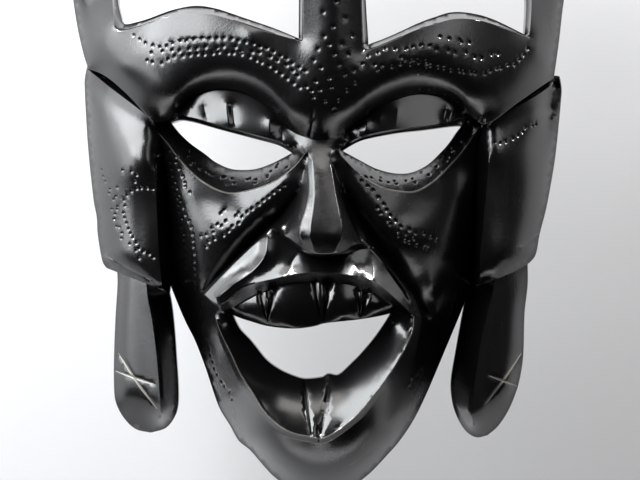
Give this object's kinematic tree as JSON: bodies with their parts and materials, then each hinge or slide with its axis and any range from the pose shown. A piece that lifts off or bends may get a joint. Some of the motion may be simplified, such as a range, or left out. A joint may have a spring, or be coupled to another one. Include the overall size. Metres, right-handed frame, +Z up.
{
  "type": "carved wooden wall mask",
  "caption": "Carved wooden wall mask with pierced crown, overhanging brows, slit eyes, open mouth and ear pendants, hung by a swinging wire ring.",
  "frame": {"origin": "point on the planed back, in the rim below the hollow at the chin, on the centre line", "axes": "+Z up, +Y into the wall behind the mask, -Y the way the face looks, +X to the right as a viewer sees it"},
  "size_m": [0.2444, 0.103, 0.34],
  "materials": {
    "crown_wood": "black lacquer, satin on the outside and glossy in the cuts",
    "face_wood": "black lacquer, satin on the outside and glossy in the cuts",
    "ear_wood": "black lacquer, satin on the outside and glossy in the cuts",
    "hanger_steel": "dulled zinc-plated steel"
  },
  "bodies": {
    "mask": {"crown": "crown_wood", "face": "face_wood", "ear_panel_left": "ear_wood", "ear_panel_right": "ear_wood", "ear_pendant_left": "ear_wood", "ear_pendant_right": "ear_wood", "hanger_strap": "hanger_steel", "hanger_screws": "hanger_steel"},
    "ring": {"hanger_ring": "hanger_steel"}
  },
  "joints": [
    {"name": "ring_swing", "type": "hinge", "parent": "mask", "child": "ring", "pos_m": [0, -0.00352, 0.302], "axis": [1, 0, 0], "range_deg": [0, 165]}
  ]
}
